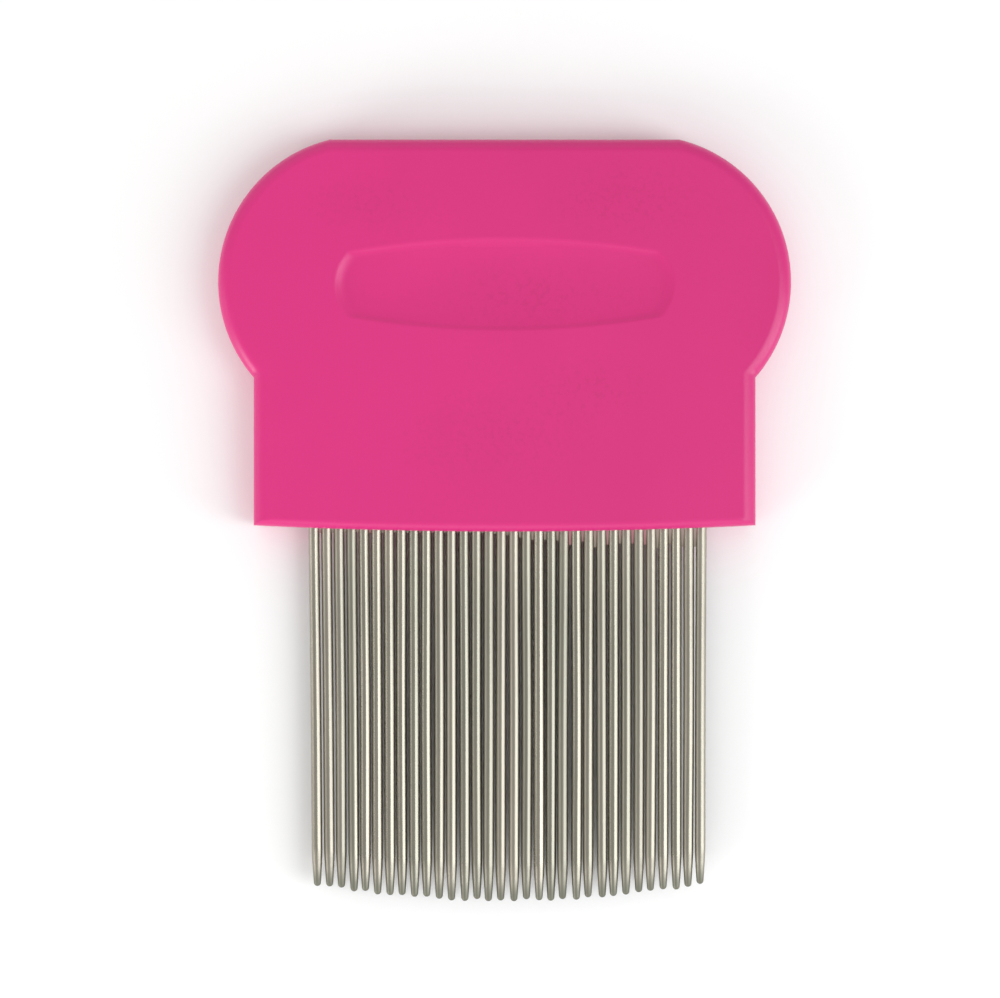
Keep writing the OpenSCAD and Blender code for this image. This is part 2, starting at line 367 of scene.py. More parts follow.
def weight_edges(piece, test, weight):
    """Sets the bevel weight of the edges that pass a test."""
    select_where(piece, "EDGE", test)
    bpy.ops.transform.edge_bevelweight(value=weight)
    close_edit()


def bevel_weighted(piece, width, segments):
    """Rounds the weighted edges, the full width at a weight of 1."""
    activate(piece)
    step = piece.modifiers.new("round", "BEVEL")
    step.limit_method = "WEIGHT"
    step.width = width
    step.segments = segments
    step.use_clamp_overlap = False
    bpy.ops.object.modifier_apply(modifier=step.name)
    weights = piece.data.attributes.get("bevel_weight_edge")
    if weights:
        piece.data.attributes.remove(weights)
    return piece


def extrude_by(step):
    """Extrudes what is selected by a step."""
    bpy.ops.mesh.extrude_region_move(TRANSFORM_OT_translate={"value": step})


def face_outwards():
    """Turns the normals of the mesh in edit mode outwards, and leaves edit mode."""
    bpy.ops.mesh.select_all(action="SELECT")
    bpy.ops.mesh.normals_make_consistent(inside=False)
    close_edit()


def all_z(points, z):
    """Whether every point lies at one height."""
    return all(abs(point.z - z) < HAIR for point in points)


# ---------- handle ----------

def lobe_x():
    """Sideways place of the right lobe's middle."""
    return HEAD_W / 2 - settings("comb_handle").lobe_r


def lobe_y():
    """Height of the lobes' middles: the straight top edge cuts the lobes a little short."""
    handle = settings("comb_handle")
    return TOP_Y + handle.top_cut - handle.lobe_r


def foot_arc_r():
    """Radius of the foot edge's long arc."""
    handle = settings("comb_handle")
    return ((handle.neck_w / 2) ** 2 + handle.foot_rise ** 2) / (2 * handle.foot_rise)


def start_outline(name, place):
    """Mesh of one vertex in edit mode, from which an outline is drawn."""
    deselect_all()
    bpy.ops.mesh.primitive_plane_add(size=MM, location=(0, 0, 0))
    outline = bpy.context.object
    outline.name = name
    open_edit()
    bpy.ops.mesh.select_mode(type="VERT")
    bpy.ops.mesh.merge(type="CENTER")
    bpy.ops.transform.translate(value=place)
    return outline


def draw_arc(centre, angle, steps):
    """Draws an arc on from the outline's last point, clockwise for a positive angle."""
    bpy.ops.mesh.spin(steps=steps, angle=angle, center=centre, axis=(0, 0, 1))


def outline_block(name, inset, low_z, high_z):
    """Solid with the handle's outline, brought in on every side."""
    handle = settings("comb_handle")
    lobe = Vector((lobe_x(), lobe_y(), low_z))
    lobe_r = handle.lobe_r - inset
    top = TOP_Y - inset
    half_neck = handle.neck_w / 2 - inset
    foot = Vector((0, FOOT_Y + foot_arc_r(), low_z))
    foot_r = foot_arc_r() - inset
    # right half: top edge, lobe, neck, and the foot edge back to the middle
    top_angle = math.asin((top - lobe.y) / lobe_r)
    neck_angle = math.acos((half_neck - lobe.x) / lobe_r)
    neck_y = lobe.y - lobe_r * math.sin(neck_angle)
    foot_angle = math.asin(half_neck / foot_r)
    corner_y = foot.y - foot_r * math.cos(foot_angle)
    block = start_outline(name, (0, top, low_z))
    extrude_by((lobe.x + lobe_r * math.cos(top_angle), 0, 0))
    draw_arc(lobe, top_angle + neck_angle, LOBE_STEPS)
    extrude_by((0, corner_y - neck_y, 0))
    draw_arc(foot, foot_angle, FOOT_STEPS)
    close_edit()
    mirror = block.modifiers.new("other half", "MIRROR")
    mirror.merge_threshold = HAIR
    bpy.ops.object.modifier_apply(modifier=mirror.name)
    # fill the outline and raise it
    open_edit()
    bpy.ops.mesh.select_all(action="SELECT")
    bpy.ops.mesh.edge_face_add()
    extrude_by((0, 0, high_z - low_z))
    face_outwards()
    return block


def dish_block(name, grow, low_z, high_z):
    """Solid with the dish's barrel outline, grown by a border."""
    dish = settings("comb_dish")
    middle_y = TOP_Y - dish.drop
    end_x = (dish.dish_l - dish.dish_h) / 2
    block = add_cylinder(
        name, dish.dish_h / 2 + grow, (-end_x, middle_y, low_z), (-end_x, middle_y, high_z),
        sides=DISH_SIDES, turn=math.pi / DISH_SIDES)
    select_where(block, "VERT", lambda points: points[0].x > -end_x)
    bpy.ops.transform.translate(value=(2 * end_x, 0, 0))
    close_edit()
    for side in (-1, 1):
        arc_y = middle_y + side * (dish.dish_h / 2 - dish.side_r)
        arc = add_cylinder(
            name + "_side", dish.side_r + grow, (0, arc_y, low_z - OVERCUT),
            (0, arc_y, high_z + OVERCUT), sides=LARGE_SIDES, turn=math.pi / LARGE_SIDES)
        keep_inside(block, arc)
    return tidy_flats(block)


def round_corners(piece, radius):
    """Rounds the upright edges where two outline curves meet at an angle."""
    mesh = piece.data
    facing = {}
    for face in mesh.polygons:
        for key in face.edge_keys:
            facing.setdefault(key, []).append(face.normal)
    sharp = []
    for key, normals in facing.items():
        upright = abs(mesh.vertices[key[0]].co.z - mesh.vertices[key[1]].co.z) > HAIR
        if upright and len(normals) == 2 and normals[0].angle(normals[1]) > CORNER_ANGLE:
            sharp.append({mesh.vertices[i].co.to_tuple(PLACE_DIGITS) for i in key})
    weight_edges(
        piece, lambda points: {point.to_tuple(PLACE_DIGITS) for point in points} in sharp, 1.0)
    return bevel_weighted(piece, radius, CORNER_SEGMENTS)


def wall_profile():
    """Inset and depth of each ring of the dish's wall: a soft rim that turns into a straight slope."""
    dish = settings("comb_dish")
    rings = []
    inset = depth = 0.0
    for step in range(1, RIM_STEPS + 1):
        inset += dish.rim_soft / RIM_STEPS
        depth += dish.rim_soft / RIM_STEPS * math.tan(dish.slope * step / (RIM_STEPS + 1))
        rings.append((inset, depth))
    low = dish.depth + OVERCUT / 4
    rings.append((inset + (low - depth) / math.tan(dish.slope), low))
    return rings


def dish_tool():
    """Tool that scoops the dish: sloping walls, rounded corners and a hollowed floor."""
    dish = settings("comb_dish")
    middle_y = TOP_Y - dish.drop
    block = dish_block("dish_tool", 0.0, HALF_T, HALF_T + OVERCUT)
    tool = round_corners(block, dish.corner_r)
    select_where(tool, "FACE", lambda points: all_z(points, HALF_T))
    last_x, last_y, last_depth = dish.dish_l, dish.dish_h, 0.0
    for inset, depth in wall_profile():
        next_x, next_y = dish.dish_l - 2 * inset, dish.dish_h - 2 * inset
        extrude_by((0, 0, last_depth - depth))
        bpy.ops.transform.resize(
            value=(next_x / last_x, next_y / last_y, 1), center_override=(0, middle_y, HALF_T))
        last_x, last_y, last_depth = next_x, next_y, depth
    close_edit()
    floor_r = ((dish.dish_h / 2) ** 2 + dish.floor_rise ** 2) / (2 * dish.floor_rise)
    floor_y = middle_y + dish.floor_shift
    floor_z = HALF_T - dish.depth + floor_r
    scoop = add_cylinder(
        "dish_floor", floor_r, (-dish.dish_l, floor_y, floor_z), (dish.dish_l, floor_y, floor_z),
        sides=LARGE_SIDES, turn=math.pi / LARGE_SIDES)
    return keep_inside(tool, scoop)


def outer_half():
    """Outside of one shell, standing on the seam: rounded rims and the scooped dish."""
    handle = settings("comb_handle")
    shell = outline_block("shell", 0.0, 0.0, HALF_T)
    foot_top = FOOT_Y + handle.foot_rise + HAIR

    def on_foot(points):
        return all(point.y < foot_top for point in points) and points[0].x != points[1].x

    weight_edges(shell, lambda points: all_z(points, HALF_T) and not on_foot(points), 1.0)
    weight_edges(shell, lambda points: all_z(points, HALF_T) and on_foot(points),
                 handle.foot_rim_r / handle.rim_r)
    weight_edges(shell, lambda points: all_z(points, 0.0) and not on_foot(points),
                 handle.parting_chamfer / handle.rim_r)
    bevel_weighted(shell, handle.rim_r, RIM_SEGMENTS)
    return cut(shell, dish_tool())


def stop_top_y():
    """Height at which the wall behind the pin roots ends and the head's hollow starts."""
    handle = settings("comb_handle")
    highest_root = max(node_box(name)[1].y for name in PIN_NODES)
    return highest_root + handle.root_play + handle.stop_t


def peg_places():
    """Middles of the four pegs."""
    handle = settings("comb_handle")
    return [(side * (lobe_x() + handle.peg_out), lobe_y() + level * handle.peg_spread)
            for side in (-1, 1) for level in (-1, 1)]


def posts(name, radius, low_z, high_z):
    """Four round posts at the pegs' places, as one tool."""
    tools = [add_cylinder(name, radius, (x, y, low_z), (x, y, high_z))
             for x, y in peg_places()]
    return join(tools, name)


def hollow_tool():
    """Tool that hollows the head, leaving its ribs, the dish's back and the bosses."""
    handle = settings("comb_handle")
    dish = settings("comb_dish")
    tool = outline_block("hollow", handle.side_wall, -OVERCUT, HOLLOW)
    cut(tool, add_box(
        "below", (-HEAD_W, FOOT_Y - OVERCUT, -2 * OVERCUT), (HEAD_W, stop_top_y(), HALF_T)))
    for step in range(-SIDE_RIBS, SIDE_RIBS + 1):
        middle = step * handle.rib_pitch
        cut(tool, add_box(
            "rib", (middle - handle.rib_t / 2, FOOT_Y, handle.play),
            (middle + handle.rib_t / 2, TOP_Y, HALF_T)))
    back_z = HALF_T - dish.depth - dish.back_t
    cut(tool, dish_block("dish_back", dish.border, back_z, HALF_T))
    cut(tool, posts("boss", handle.boss_r, -2 * OVERCUT, HALF_T))
    return tool


def pocket_tool():
    """Tool that makes the pocket for the bead, the bar with its keys, and the pin roots."""
    handle = settings("comb_handle")
    play = handle.play
    key_y = (BAR_LOW.y + BAR_HIGH.y) / 2
    first_root = min(node_box(name)[1].y for name in PIN_NODES)
    tool = add_box(
        "pocket", (BEAD_LOW.x, BEAD_LOW.y, -OVERCUT), (BEAD_HIGH.x, stop_top_y(), HOLLOW))
    arc_y = first_root + handle.root_play + handle.tip_arc_r
    cut(tool, add_cylinder(
        "stop_arc", handle.tip_arc_r, (ROW_X, arc_y, -2 * OVERCUT), (ROW_X, arc_y, HALF_T),
        sides=STOP_SIDES))
    fuse(tool, add_box(
        "keys", (BAR_LOW.x - play, key_y - handle.key_h / 2 - play, -OVERCUT),
        (BAR_HIGH.x + play, key_y + handle.key_h / 2 + play, HOLLOW)))
    return tool


def notch_tool():
    """Row of round tools that open the mouth for the pins."""
    handle = settings("comb_handle")
    tools = []
    for name in PIN_NODES:
        low, high = node_box(name)
        x = (low.x + high.x) / 2
        tools.append(add_cylinder(
            "notch", PIN_D / 2 + handle.notch_play, (x, FOOT_Y - OVERCUT, 0),
            (x, FOOT_Y + handle.mouth_l + OVERCUT / 2, 0)))
    return join(tools, "notches")


def tongue_tool(play, low_z, high_z):
    """Ring that makes the tongue or its groove, left open at the pin row."""
    handle = settings("comb_handle")
    ring = outline_block("tongue", handle.tongue_inset - play, low_z, high_z)
    inner = handle.tongue_inset + handle.tongue_w + play
    cut(ring, outline_block("tongue_inside", inner, low_z - OVERCUT, high_z + OVERCUT))
    row_low = ROW_LOW.x - handle.tongue_end + play
    row_high = ROW_HIGH.x + handle.tongue_end - play
    cut(ring, add_box(
        "tongue_gap", (row_low, FOOT_Y - OVERCUT, low_z - OVERCUT),
        (row_high, FOOT_Y + handle.mouth_l, high_z + OVERCUT)))
    return ring


def shell_half():
    """What the two shells share, standing on the seam."""
    shell = outer_half()
    cut(shell, hollow_tool())
    cut(shell, pocket_tool())
    cut(shell, notch_tool())
    return shell


def finish_piece(piece, name, look, slot, *nodes):
    """Names and shades a finished piece and ties it to the frame."""
    activate(piece)
    piece.name = name
    piece.data.name = name
    bpy.ops.object.shade_smooth_by_angle(angle=SMOOTH_ANGLE)
    piece.data.materials.clear()
    piece.data.materials.append(look)
    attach(piece, "root")
    if nodes:
        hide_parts(*nodes)
    return piece


def even_normals(piece):
    """Shades large flat faces flat right up to their rounded edges."""
    activate(piece)
    step = piece.modifiers.new("even normals", "WEIGHTED_NORMAL")
    step.keep_sharp = True
    step.weight = FACE_WEIGHT
    bpy.ops.object.modifier_apply(modifier=step.name)


def raise_shell(shell, facing):
    """Puts a shell on the seam, looking up for 1 and down for -1."""
    activate(shell)
    open_edit()
    bpy.ops.mesh.select_all(action="SELECT")
    if facing < 0:
        bpy.ops.transform.mirror(
            orient_type="GLOBAL", constraint_axis=(False, False, True), center_override=(0, 0, 0))
        bpy.ops.mesh.flip_normals()
    bpy.ops.transform.translate(value=(0, 0, PARTING_Z))
    close_edit()


class FLEACOMB_OT_front_shell(bpy.types.Operator):
    """Model the front shell, with its dish, pegs and tongue"""
    bl_idname = "flea_comb.front_shell"
    bl_label = "Front shell"

    def execute(self, context):
        handle = settings("comb_handle")
        shell = shell_half()
        fuse(shell, posts("peg", handle.peg_r, -handle.peg_l, HOLLOW + handle.play))
        fuse(shell, tongue_tool(0.0, -handle.tongue_h, handle.play))
        raise_shell(shell, 1)
        finish_piece(shell, "front_shell_moulding", pink_plastic(), "handle_plastic", "front_shell")
        even_normals(shell)
        return {"FINISHED"}


class FLEACOMB_OT_rear_shell(bpy.types.Operator):
    """Model the rear shell, with its dish, sockets and groove"""
    bl_idname = "flea_comb.rear_shell"
    bl_label = "Rear shell"

    def execute(self, context):
        handle = settings("comb_handle")
        shell = shell_half()
        socket_r = handle.peg_r + handle.play
        cut(shell, posts("socket", socket_r, -OVERCUT, handle.peg_l + handle.peg_end_play))
        cut(shell, tongue_tool(handle.play, -OVERCUT, handle.tongue_h + handle.play))
        raise_shell(shell, -1)
        finish_piece(shell, "rear_shell_moulding", pink_plastic(), "handle_plastic", "rear_shell")
        even_normals(shell)
        return {"FINISHED"}


# ---------- pins ----------

SHANK_RINGS = 26
TAPER_RINGS = 5
TIP_RINGS = 5
TAPER_POWER = 1.3
PRESS_POWER = 4
PIN_SEED = 32


def pin_rings():
    """Distance from the root and radius of each ring of a pin."""
    pins = settings("comb_pins")
    radius = PIN_D / 2
    pin_l = PIN_HIGH.y - PIN_LOW.y
    taper_start = pin_l - pins.taper_l
    tip_start = pin_l - pins.tip_r
    rings = [(0.0, radius - pins.chamfer), (pins.chamfer, radius)]
    for step in range(1, SHANK_RINGS + 1):
        rings.append((pins.chamfer + (taper_start - pins.chamfer) * step / SHANK_RINGS, radius))
    for step in range(1, TAPER_RINGS + 1):
        share_done = step / TAPER_RINGS
        rings.append((taper_start + (tip_start - taper_start) * share_done,
                      radius + (pins.tip_r - radius) * share_done ** TAPER_POWER))
    # the tip's last ring stays half a step short of the point, and a small flat closes it
    for step in range(1, TIP_RINGS + 1):
        turn = math.pi / 2 * step / (TIP_RINGS + 0.5)
        rings.append((tip_start + pins.tip_r * math.sin(turn), pins.tip_r * math.cos(turn)))
    return rings


def model_pin():
    """Models one straight pin along -Y, its root at the origin."""
    rings = pin_rings()
    deselect_all()
    bpy.ops.mesh.primitive_circle_add(
        vertices=settings("comb_pins").sides, radius=rings[0][1], fill_type="NGON",
        rotation=(math.pi / 2, 0, 0))
    pin = apply_place(bpy.context.object)
    open_edit()
    bpy.ops.mesh.select_mode(type="FACE")
    bpy.ops.mesh.select_all(action="SELECT")
    for (last_y, last_r), (next_y, next_r) in zip(rings, rings[1:]):
        extrude_by((0, last_y - next_y, 0))
        swell = next_r / last_r
        bpy.ops.transform.resize(value=(swell, 1, swell), center_override=(0, -next_y, 0))
    face_outwards()
    return pin


def push_ring(pin, ring_y, reach, falloff, step):
    """Moves the ring of a pin nearest a height, and its neighbours within reach ever less."""
    nearest = min((corner.co.y for corner in pin.data.vertices), key=lambda y: abs(y - ring_y))
    select_where(pin, "VERT", lambda points: abs(points[0].y - nearest) < HAIR)
    bpy.ops.transform.translate(
        value=step, use_proportional_edit=True, proportional_edit_falloff=falloff,
        proportional_size=reach)
    close_edit()


class FLEACOMB_OT_steel_pins(bpy.types.Operator):
    """Model one steel pin and set it out along the row, each a little off true"""
    bl_idname = "flea_comb.steel_pins"
    bl_label = "Steel pins"

    def execute(self, context):
        pins = settings("comb_pins")
        draw = random.Random(PIN_SEED)
        look = drawn_steel()
        pattern = model_pin()
        for name in PIN_NODES:
            low, high = node_box(name)
            middle = (low + high) / 2
            activate(pattern)
            bpy.ops.object.duplicate()
            pin = bpy.context.object
            root = high.y + draw.uniform(-1, 1) * pins.creep
            pin.location = (middle.x, root, middle.z)
            apply_place(pin)
            free = FOOT_Y - low.y
            lean = (ROW_X - middle.x) * pins.closing + draw.gauss(0, 1) * pins.stray
            # the pins at the left end are pressed in towards their neighbours
            leftness = max(0.0, (ROW_X - middle.x) / (ROW_X - ROW_LOW.x))
            lean += pins.pressed * leftness ** PRESS_POWER
            push_ring(pin, low.y, free, "LINEAR", (lean, 0, draw.gauss(0, 1) * pins.stray))
            push_ring(pin, low.y + free / 2, free / 2, "SMOOTH",
                      (draw.gauss(0, 1) * pins.bow, 0, draw.gauss(0, 1) * pins.bow))
            finish_piece(pin, "steel_" + name, look, "pin_steel", name)
        bpy.data.meshes.remove(pattern.data)
        return {"FINISHED"}


# ---------- webs between the pins ----------

WEB_RINGS = 5
WEB_ROOT_PARTS = 3
WEB_END = 0.6
WEB_SHORTEST = 0.1
WEB_START = 0.4
WEB_GROWTH = 3
WEB_SPREAD = (0.75, 1.15)
WEB_SEED = 7


def slit_reach(z):
    """Half of the distance between two pins at a height, with the webs' lap onto them."""
    rise = z - PARTING_Z
    return PITCH / 2 - math.sqrt(PIN_D ** 2 / 4 - rise ** 2) + settings("comb_pins").flash_lap


def model_web(middle, run):
    """Models one web, which widens upwards and downwards where the pins curve away from it."""
    pins = settings("comb_pins")
    low_z = PARTING_Z - pins.flash_h / 2
    step = pins.flash_h / WEB_RINGS
    reach = slit_reach(low_z)
    web = add_box("web", (middle - reach, FOOT_Y - run, low_z - step),
                  (middle + reach, FOOT_Y + pins.flash_l / WEB_ROOT_PARTS, low_z))
    select_where(web, "FACE", lambda points: all_z(points, low_z))
    for ring in range(WEB_RINGS):
        next_z = low_z + step * (ring + 1)
        extrude_by((0, 0, step))
        wider = slit_reach(next_z) / slit_reach(next_z - step)
        bpy.ops.transform.resize(value=(wider, 1, 1), center_override=(middle, 0, next_z))
    # the free end is thinner
    select_where(web, "FACE", lambda points: all(
        abs(point.y - FOOT_Y + run) < HAIR for point in points))
    bpy.ops.transform.resize(value=(WEB_END, 1, WEB_END), center_override=(middle, 0, low_z))
    close_edit()
    return web


class FLEACOMB_OT_mouth_flash(bpy.types.Operator):
    """Model the thin webs that are left between the pins at the mouth"""
    bl_idname = "flea_comb.mouth_flash"
    bl_label = "Mouth flash"

    def execute(self, context):
        pins = settings("comb_pins")
        draw = random.Random(WEB_SEED)
        webs = []
        for left, right in zip(PIN_NODES, PIN_NODES[1:]):
            middle = (node_box(left)[1].x + node_box(right)[0].x) / 2
            # the webs are short on the left, and grow to their full length across the middle
            side = (middle - ROW_LOW.x) / (ROW_HIGH.x - ROW_LOW.x)
            share_here = min(1.0, max(WEB_SHORTEST, (side - WEB_START) * WEB_GROWTH))
            webs.append(model_web(middle, pins.flash_l * share_here * draw.uniform(*WEB_SPREAD)))
        finish_piece(join(webs, "mouth_flash"), "mouth_flash", thin_flash(), "handle_plastic")
        return {"FINISHED"}


class FLEACOMB_OT_inner_parts(bpy.types.Operator):
    """Give the pin bar and the adhesive bead inside the handle their materials"""
    bl_idname = "flea_comb.inner_parts"
    bl_label = "Inner parts"

    def execute(self, context):
        for name, look in (("pin_bar", bar_plastic()), ("glue_bead", cured_resin())):
            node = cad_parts[name]
            for spot in node.material_slots:
                spot.material = look
        return {"FINISHED"}


# ---------- shader recipes ----------

class Value:
    """Shader socket with arithmetic: each operator adds a Math node."""

    def __init__(self, recipe, socket):
        self.recipe = recipe
        self.socket = socket

    def __add__(self, other):
        return self.recipe.math("ADD", self, other)

    def __radd__(self, other):
        return self.recipe.math("ADD", other, self)

    def __sub__(self, other):
        return self.recipe.math("SUBTRACT", self, other)

    def __rsub__(self, other):
        return self.recipe.math("SUBTRACT", other, self)

    def __mul__(self, other):
        return self.recipe.math("MULTIPLY", self, other)

    def __truediv__(self, other):
        return self.recipe.math("DIVIDE", self, other)

    def centred(self):
        """A value from 0 to 1, counted from its middle."""
        return self - 0.5


def find_socket(sockets, key):
    """Socket of a node by its place, its identifier or its name."""
    if isinstance(key, int):
        return sockets[key]
    for socket in sockets:
        if socket.identifier == key:
            return socket
    return sockets[key]


class Recipe:
    """Node tree of one material, built by adding nodes."""

    def __init__(self, name):
        self.material = bpy.data.materials.new(name)
        self.material.use_nodes = True
        self.tree = self.material.node_tree
        self.tree.nodes.clear()

    def add(self, kind, setup=None, inputs=None, output=0):
        """Adds a node with its settings, then its inputs, and gives one of its outputs, if any."""
        node = self.tree.nodes.new(kind)
        for name, value in (setup or {}).items():
            setattr(node, name, value)
        for key, value in (inputs or {}).items():
            socket = find_socket(node.inputs, key)
            if isinstance(value, Value):
                self.tree.links.new(value.socket, socket)
            else:
                socket.default_value = value
        return Value(self, find_socket(node.outputs, output)) if len(node.outputs) else None

    def math(self, operation, *terms, clamp=False):
        """Math node on numbers and sockets."""
        return self.add("ShaderNodeMath", {"operation": operation, "use_clamp": clamp},
                        dict(enumerate(terms)))

    def place(self):
        """Place on the object, in metres."""
        return self.add("ShaderNodeTexCoord", output="Object")

    def stretch(self, place, scale, middle=(0, 0, 0), turn=(0, 0, 0)):
        """Place counted from a middle, turned and then stretched along each axis."""
        moved = self.add("ShaderNodeVectorMath", {"operation": "SUBTRACT"}, {0: place, 1: middle})
        return self.add("ShaderNodeMapping", None,
                        {"Vector": moved, "Rotation": turn, "Scale": scale})

    def noise(self, place, scale, detail=2.0, roughness=0.5):
        """Soft noise from 0 to 1, with a number of features per metre."""
        return self.add("ShaderNodeTexNoise", None, {
            "Vector": place, "Scale": scale, "Detail": detail, "Roughness": roughness})

    def patch(self, place, middle, reach):
        """Soft spot: 1 at its middle, 0 at its reach along each axis."""
        spot = self.stretch(place, tuple(1 / size for size in reach), middle)
        return self.add("ShaderNodeTexGradient", {"gradient_type": "SPHERICAL"}, {"Vector": spot},
                        output=1)

    def axis(self, place, name):
        """One coordinate of a place."""
        return self.add("ShaderNodeSeparateXYZ", None, {0: place}, output=name)

    def chance(self, count):
        """Random value from 0 to 1 for each number."""
        return self.add("ShaderNodeTexWhiteNoise", {"noise_dimensions": "1D"}, {"W": count})

    def mix(self, share_of_second, first, second):
        """Colour between two colours."""
        return self.add("ShaderNodeMix", {"data_type": "RGBA"}, {
            "Factor_Float": share_of_second, "A_Color": first, "B_Color": second}, "Result_Color")

    def between(self, value, low, high):
        """Share from 0 to 1 of the way that a value is from low to high, clamped."""
        return self.add("ShaderNodeMapRange", {"clamp": True, "interpolation_type": "SMOOTHSTEP"}, {
            "Value": value, "From Min": low, "From Max": high})

    def bump(self, height, depth, over=None):
        """Relief of a depth in metres, on top of another relief."""
        inputs = {"Height": height, "Distance": depth, "Strength": 1.0}
        if over:
            inputs["Normal"] = over
        return self.add("ShaderNodeBump", None, inputs)

    def finish(self, **sockets):
        """Ends the recipe in a Principled surface."""
        inputs = {name.replace("_", " "): value for name, value in sockets.items()}
        surface = self.add("ShaderNodeBsdfPrincipled", None, inputs)
        self.add("ShaderNodeOutputMaterial", None, {"Surface": surface})
        return self.material


def shade(base, factor=1.0):
    """Colour scaled by a factor, with full alpha."""
    return tuple(min(1.0, part * factor) for part in base) + (1.0,)


# ---------- materials: each is made once, and the pieces share it ----------

WEB_TONE_SEED = 7.5
PIN_TONE_SEED = 0.5
PIN_POLISH_SEED = 50.5

# faint darker mottled patches on the handle, in millimetres: middle and reach, each along X and Y
DARK_PATCHES = (
    ((-0.4, 8.2), (11.0, 5.5)),
    ((11.5, 31.2), (9.0, 4.5)),
    ((2.5, 22.3), (13.0, 4.0)),
    ((-13.0, 31.0), (7.0, 3.0)),
    ((8.0, 13.0), (8.0, 4.0)),
)


@functools.cache
def pink_plastic():
    """Moulded pink plastic: clouded pigment, finely mottled darker patches, faint scuffs."""
    looks = settings("comb_looks")
    r = Recipe("moulded_pink_plastic")
    place = r.place()
    cloud = r.noise(place, 55.0, 3.0, 0.55)
    veins = r.noise(place, 1500.0, 4.0, 0.7)
    speck = r.noise(place, 2600.0, 1.0)
    patch_mask = None
    for middle, reach in DARK_PATCHES:
        spot = r.patch(place, (middle[0] * MM, middle[1] * MM, 0.0),
                       (reach[0] * MM, reach[1] * MM, 1.0))
        patch_mask = spot if patch_mask is None else patch_mask + spot
    patch_mask = r.math("ADD", patch_mask, 0.12, clamp=True)
    marks = r.between(veins, 0.46, 0.66) * patch_mask
    soft = r.noise(place, 260.0, 2.0) * patch_mask
    # painted light: the plastic is painted lighter towards the left side
    left_light = r.between(r.axis(place, "X"), HEAD_W / 2, -HEAD_W / 2)
    tone = r.math("SUBTRACT", 0.32 + left_light * 0.42 + cloud.centred() * 0.5,
                  marks * 0.42 + soft * 0.22, clamp=True)
    colour_here = r.mix(tone, shade(looks.pink, 0.90), shade(looks.pink, 1.10))
    # scuffs: long faint scratches in three directions
    scratch = None
    for turn, length_scale in ((0.5, 40.0), (-0.9, 60.0), (1.4, 90.0)):
        lines = r.noise(r.stretch(place, (9000.0, length_scale, 400.0), turn=(0, 0, turn)), 1.0, 2.0)
        line = r.between(lines, 0.70, 0.78)
        scratch = line if scratch is None else r.math("MAXIMUM", scratch, line)
    rough = looks.plastic_rough + cloud.centred() * 0.10 + speck.centred() * 0.05 + marks * 0.08
    wave = r.bump(r.noise(place, 130.0, 1.0), 0.03 * MM)
    peel = r.bump(r.noise(place, 3200.0, 2.0), 0.0012 * MM, wave)
    relief = r.bump(1.0 - scratch, 0.0015 * MM, peel)
    return r.finish(Base_Color=colour_here, Roughness=rough + scratch * 0.12, Normal=relief,
                    IOR=1.47)


@functools.cache
def thin_flash():
    """Thin dull webs: greyed with residue, and pale pink in some of the slits."""
    looks = settings("comb_looks")
    r = Recipe("thin_flash")
    place = r.place()
    cloud = r.noise(place, 1500.0, 3.0)
    slit = r.math("FLOOR", (r.axis(place, "X") - ROW_LOW.x) / PITCH)
    pinker = r.between(r.chance(slit + WEB_TONE_SEED) + cloud.centred() * 0.4, 0.62, 0.9)
    colour_here = r.mix(pinker, shade(looks.steel_warm, 1.05), shade(looks.web_pink))
    return r.finish(Base_Color=colour_here, Roughness=0.55 + cloud.centred() * 0.2,
                    Normal=r.bump(cloud, 0.01 * MM))


@functools.cache
def drawn_steel():
    """Drawn stainless wire: lengthwise grain, a tone for each pin, ground tapers."""
    looks = settings("comb_looks")
    pins = settings("comb_pins")
    r = Recipe("drawn_steel_wire")
    place = r.place()
    across = r.axis(place, "X")
    along = r.axis(place, "Y")
    # each pin has a tone and a polish of its own
    count = r.math("FLOOR", (across - ROW_LOW.x + PITCH / 4) / PITCH)
    tone = r.chance(count + PIN_TONE_SEED)
    polish = r.chance(count + PIN_POLISH_SEED)
    grain = r.noise(r.stretch(place, (11000.0, 90.0, 11000.0)), 1.0, 3.0, 0.6)
    stain = r.noise(r.stretch(place, (500.0, 60.0, 500.0)), 1.0, 2.0)
    mixed = r.math("ADD", tone * 0.5 + grain.centred() * 0.7, stain * 0.45, clamp=True)
    far_wire = r.mix(mixed, shade(looks.steel, 0.84), shade(looks.steel_warm, 1.1))
    # painted light: the wire is painted lighter close to the handle
    near_handle_light = r.between(along, FOOT_Y - 9 * MM, FOOT_Y)
    wire = r.mix(near_handle_light, far_wire, r.mix(mixed, shade(looks.steel), shade(looks.steel_warm, 1.3)))
    # the taper is ground across the wire
    offset = across - ROW_X
    arc = offset * offset / (2 * settings("comb_handle").tip_arc_r)
    height = along - PIN_LOW.y - arc
    ground = 1.0 - r.between(height, pins.taper_l * 0.75, pins.taper_l * 1.1)
    dull = 1.0 - r.between(height, 0.3 * MM, 2.4 * MM)
    colour_here = r.mix(dull, wire, shade(looks.steel, 0.72))
    rings = r.noise(r.stretch(place, (700.0, 16000.0, 700.0)), 1.0, 2.0)
    rough = looks.steel_rough + grain.centred() * 0.14 + stain.centred() * 0.08
    rough = rough + polish.centred() * 0.12 + ground * 0.1 + dull * 0.22
    relief = r.bump(grain, 0.003 * MM)
    relief = r.bump(rings * ground, 0.004 * MM, relief)
    return r.finish(Base_Color=colour_here, Metallic=0.97, Roughness=rough, Normal=relief)


